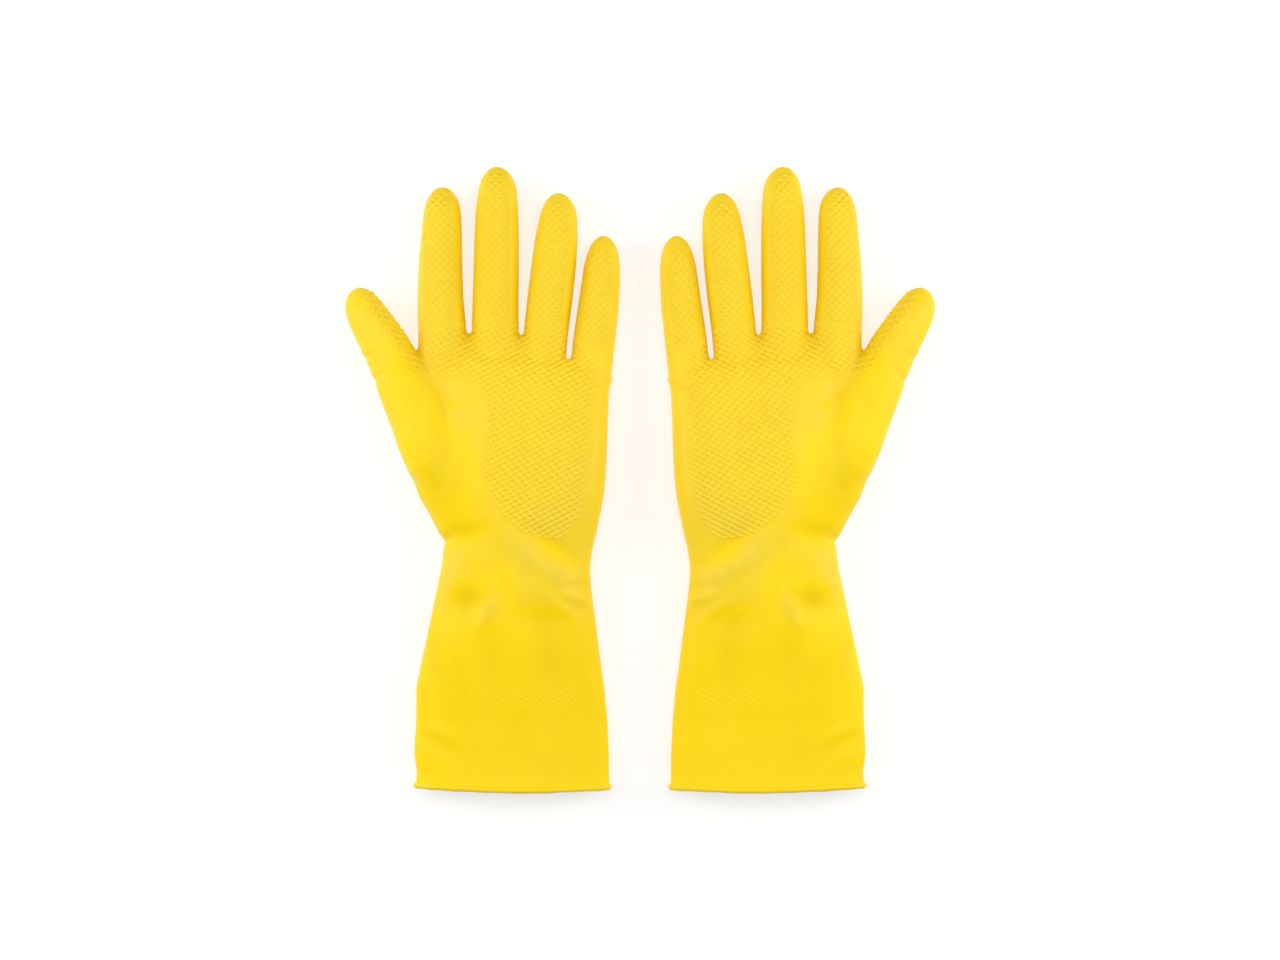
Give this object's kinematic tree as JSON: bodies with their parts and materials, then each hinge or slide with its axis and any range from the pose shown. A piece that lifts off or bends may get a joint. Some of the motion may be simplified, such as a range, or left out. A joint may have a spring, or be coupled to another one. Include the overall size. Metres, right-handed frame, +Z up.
{
  "type": "rubber gloves",
  "caption": "Pair of flock-lined household rubber gloves lying palm up, with net-pattern grip, flared cuffs and rolled rims; fingers, thumbs and wrists flex.",
  "frame": {"origin": "on the table, midway between the two gloves and midway between the cuffs' rims and the tips of the middle fingers", "axes": "+X from the left glove to the right one, +Y from the cuffs to the fingertips, +Z up out of the palms"},
  "size_m": [0.288, 0.305, 0.034],
  "materials": {
    "rubber_film": "dipped yellow latex, semi-matte, with a raised net grip on the palm side",
    "rubber_bead": "rolled yellow latex rim, a little glossier than the film",
    "cotton_flock": "short cotton flock bonded to the inside, matte"
  },
  "bodies": {
    "left_palm": {"left_palm": "rubber_film", "left_palm_lining": "cotton_flock"},
    "left_cuff": {"left_cuff": "rubber_film", "left_cuff_bead": "rubber_bead", "left_cuff_lining": "cotton_flock"},
    "left_thumb_base": {"left_thumb_base": "rubber_film"},
    "left_thumb_tip": {"left_thumb_tip": "rubber_film"},
    "left_index_base": {"left_index_base": "rubber_film"},
    "left_index_middle": {"left_index_middle": "rubber_film"},
    "left_index_tip": {"left_index_tip": "rubber_film"},
    "left_middle_base": {"left_middle_base": "rubber_film"},
    "left_middle_middle": {"left_middle_middle": "rubber_film"},
    "left_middle_tip": {"left_middle_tip": "rubber_film"},
    "left_ring_base": {"left_ring_base": "rubber_film"},
    "left_ring_middle": {"left_ring_middle": "rubber_film"},
    "left_ring_tip": {"left_ring_tip": "rubber_film"},
    "left_little_base": {"left_little_base": "rubber_film"},
    "left_little_middle": {"left_little_middle": "rubber_film"},
    "left_little_tip": {"left_little_tip": "rubber_film"},
    "right_palm": {"right_palm": "rubber_film", "right_palm_lining": "cotton_flock"},
    "right_cuff": {"right_cuff": "rubber_film", "right_cuff_bead": "rubber_bead", "right_cuff_lining": "cotton_flock"},
    "right_thumb_base": {"right_thumb_base": "rubber_film"},
    "right_thumb_tip": {"right_thumb_tip": "rubber_film"},
    "right_index_base": {"right_index_base": "rubber_film"},
    "right_index_middle": {"right_index_middle": "rubber_film"},
    "right_index_tip": {"right_index_tip": "rubber_film"},
    "right_middle_base": {"right_middle_base": "rubber_film"},
    "right_middle_middle": {"right_middle_middle": "rubber_film"},
    "right_middle_tip": {"right_middle_tip": "rubber_film"},
    "right_ring_base": {"right_ring_base": "rubber_film"},
    "right_ring_middle": {"right_ring_middle": "rubber_film"},
    "right_ring_tip": {"right_ring_tip": "rubber_film"},
    "right_little_base": {"right_little_base": "rubber_film"},
    "right_little_middle": {"right_little_middle": "rubber_film"},
    "right_little_tip": {"right_little_tip": "rubber_film"}
  },
  "joints": [
    {"name": "left_wrist_fold", "type": "hinge", "parent": "left_palm", "child": "left_cuff", "pos_m": [-0.0601, -0.038, 0.03], "axis": [-1, 0, 0], "range_deg": [0, 80], "stiffness_Nm_per_rad": 0.02},
    {"name": "left_thumb_knuckle", "type": "hinge", "parent": "left_palm", "child": "left_thumb_base", "pos_m": [-0.11725, 0.06121, 0.02728], "axis": [0.8258, 0.4484, -0.342], "range_deg": [0, 45], "stiffness_Nm_per_rad": 0.003},
    {"name": "left_thumb_end", "type": "hinge", "parent": "left_thumb_base", "child": "left_thumb_tip", "pos_m": [-0.12639, 0.07731, 0.02633], "axis": [0.8258, 0.4484, -0.342], "range_deg": [0, 60], "stiffness_Nm_per_rad": 0.003},
    {"name": "left_index_knuckle", "type": "hinge", "parent": "left_palm", "child": "left_index_base", "pos_m": [-0.0964, 0.0795, 0.02409], "axis": [1, 0, 0], "range_deg": [0, 80], "stiffness_Nm_per_rad": 0.003},
    {"name": "left_index_mid", "type": "hinge", "parent": "left_index_base", "child": "left_index_middle", "pos_m": [-0.0964, 0.09682, 0.02351], "axis": [1, 0, 0], "range_deg": [0, 85], "stiffness_Nm_per_rad": 0.003},
    {"name": "left_index_end", "type": "hinge", "parent": "left_index_middle", "child": "left_index_tip", "pos_m": [-0.0964, 0.1193, 0.02266], "axis": [1, 0, 0], "range_deg": [0, 42.5], "stiffness_Nm_per_rad": 0.003},
    {"name": "left_middle_knuckle", "type": "hinge", "parent": "left_palm", "child": "left_middle_base", "pos_m": [-0.07, 0.0795, 0.02348], "axis": [1, 0, 0], "range_deg": [0, 80], "stiffness_Nm_per_rad": 0.003},
    {"name": "left_middle_mid", "type": "hinge", "parent": "left_middle_base", "child": "left_middle_middle", "pos_m": [-0.07, 0.10053, 0.02323], "axis": [1, 0, 0], "range_deg": [0, 85], "stiffness_Nm_per_rad": 0.003},
    {"name": "left_middle_end", "type": "hinge", "parent": "left_middle_middle", "child": "left_middle_tip", "pos_m": [-0.07, 0.1261, 0.0228], "axis": [1, 0, 0], "range_deg": [0, 42.5], "stiffness_Nm_per_rad": 0.003},
    {"name": "left_ring_knuckle", "type": "hinge", "parent": "left_palm", "child": "left_ring_base", "pos_m": [-0.04527, 0.07695, 0.02269], "axis": [0.9952, -0.0976, 0], "range_deg": [0, 80], "stiffness_Nm_per_rad": 0.003},
    {"name": "left_ring_mid", "type": "hinge", "parent": "left_ring_base", "child": "left_ring_middle", "pos_m": [-0.04358, 0.0942, 0.0225], "axis": [0.9952, -0.0976, 0], "range_deg": [0, 85], "stiffness_Nm_per_rad": 0.003},
    {"name": "left_ring_end", "type": "hinge", "parent": "left_ring_middle", "child": "left_ring_tip", "pos_m": [-0.04139, 0.11657, 0.02201], "axis": [0.9952, -0.0976, 0], "range_deg": [0, 42.5], "stiffness_Nm_per_rad": 0.003},
    {"name": "left_little_knuckle", "type": "hinge", "parent": "left_palm", "child": "left_little_base", "pos_m": [-0.02239, 0.06926, 0.02141], "axis": [0.9954, -0.0958, 0], "range_deg": [0, 80], "stiffness_Nm_per_rad": 0.003},
    {"name": "left_little_mid", "type": "hinge", "parent": "left_little_base", "child": "left_little_middle", "pos_m": [-0.02119, 0.08171, 0.02115], "axis": [0.9954, -0.0958, 0], "range_deg": [0, 85], "stiffness_Nm_per_rad": 0.003},
    {"name": "left_little_end", "type": "hinge", "parent": "left_little_middle", "child": "left_little_tip", "pos_m": [-0.01942, 0.10007, 0.02056], "axis": [0.9954, -0.0958, 0], "range_deg": [0, 42.5], "stiffness_Nm_per_rad": 0.003},
    {"name": "right_wrist_fold", "type": "hinge", "parent": "right_palm", "child": "right_cuff", "pos_m": [0.0601, -0.038, 0.03], "axis": [-1, 0, 0], "range_deg": [0, 80], "stiffness_Nm_per_rad": 0.02},
    {"name": "right_thumb_knuckle", "type": "hinge", "parent": "right_palm", "child": "right_thumb_base", "pos_m": [0.11725, 0.06121, 0.02728], "axis": [0.8258, -0.4484, 0.342], "range_deg": [0, 45], "stiffness_Nm_per_rad": 0.003},
    {"name": "right_thumb_end", "type": "hinge", "parent": "right_thumb_base", "child": "right_thumb_tip", "pos_m": [0.12639, 0.07731, 0.02633], "axis": [0.8258, -0.4484, 0.342], "range_deg": [0, 60], "stiffness_Nm_per_rad": 0.003},
    {"name": "right_index_knuckle", "type": "hinge", "parent": "right_palm", "child": "right_index_base", "pos_m": [0.0964, 0.0795, 0.02409], "axis": [1, 0, 0], "range_deg": [0, 80], "stiffness_Nm_per_rad": 0.003},
    {"name": "right_index_mid", "type": "hinge", "parent": "right_index_base", "child": "right_index_middle", "pos_m": [0.0964, 0.09682, 0.02351], "axis": [1, 0, 0], "range_deg": [0, 85], "stiffness_Nm_per_rad": 0.003},
    {"name": "right_index_end", "type": "hinge", "parent": "right_index_middle", "child": "right_index_tip", "pos_m": [0.0964, 0.1193, 0.02266], "axis": [1, 0, 0], "range_deg": [0, 42.5], "stiffness_Nm_per_rad": 0.003},
    {"name": "right_middle_knuckle", "type": "hinge", "parent": "right_palm", "child": "right_middle_base", "pos_m": [0.07, 0.0795, 0.02348], "axis": [1, 0, 0], "range_deg": [0, 80], "stiffness_Nm_per_rad": 0.003},
    {"name": "right_middle_mid", "type": "hinge", "parent": "right_middle_base", "child": "right_middle_middle", "pos_m": [0.07, 0.10053, 0.02323], "axis": [1, 0, 0], "range_deg": [0, 85], "stiffness_Nm_per_rad": 0.003},
    {"name": "right_middle_end", "type": "hinge", "parent": "right_middle_middle", "child": "right_middle_tip", "pos_m": [0.07, 0.1261, 0.0228], "axis": [1, 0, 0], "range_deg": [0, 42.5], "stiffness_Nm_per_rad": 0.003},
    {"name": "right_ring_knuckle", "type": "hinge", "parent": "right_palm", "child": "right_ring_base", "pos_m": [0.04527, 0.07695, 0.02269], "axis": [0.9952, 0.0976, 0], "range_deg": [0, 80], "stiffness_Nm_per_rad": 0.003},
    {"name": "right_ring_mid", "type": "hinge", "parent": "right_ring_base", "child": "right_ring_middle", "pos_m": [0.04358, 0.0942, 0.0225], "axis": [0.9952, 0.0976, 0], "range_deg": [0, 85], "stiffness_Nm_per_rad": 0.003},
    {"name": "right_ring_end", "type": "hinge", "parent": "right_ring_middle", "child": "right_ring_tip", "pos_m": [0.04139, 0.11657, 0.02201], "axis": [0.9952, 0.0976, 0], "range_deg": [0, 42.5], "stiffness_Nm_per_rad": 0.003},
    {"name": "right_little_knuckle", "type": "hinge", "parent": "right_palm", "child": "right_little_base", "pos_m": [0.02239, 0.06926, 0.02141], "axis": [0.9954, 0.0958, 0], "range_deg": [0, 80], "stiffness_Nm_per_rad": 0.003},
    {"name": "right_little_mid", "type": "hinge", "parent": "right_little_base", "child": "right_little_middle", "pos_m": [0.02119, 0.08171, 0.02115], "axis": [0.9954, 0.0958, 0], "range_deg": [0, 85], "stiffness_Nm_per_rad": 0.003},
    {"name": "right_little_end", "type": "hinge", "parent": "right_little_middle", "child": "right_little_tip", "pos_m": [0.01942, 0.10007, 0.02056], "axis": [0.9954, 0.0958, 0], "range_deg": [0, 42.5], "stiffness_Nm_per_rad": 0.003},
    {"name": "right_glove_slide", "type": "slide", "parent": "left_palm", "child": "right_palm", "axis": [1, 0, 0], "range_m": [-0.012, 0.1]}
  ],
  "couplings": [
    {"joint": "left_index_end", "follows": "left_index_mid", "ratio": 0.5},
    {"joint": "left_middle_end", "follows": "left_middle_mid", "ratio": 0.5},
    {"joint": "left_ring_end", "follows": "left_ring_mid", "ratio": 0.5},
    {"joint": "left_little_end", "follows": "left_little_mid", "ratio": 0.5},
    {"joint": "right_index_end", "follows": "right_index_mid", "ratio": 0.5},
    {"joint": "right_middle_end", "follows": "right_middle_mid", "ratio": 0.5},
    {"joint": "right_ring_end", "follows": "right_ring_mid", "ratio": 0.5},
    {"joint": "right_little_end", "follows": "right_little_mid", "ratio": 0.5}
  ]
}
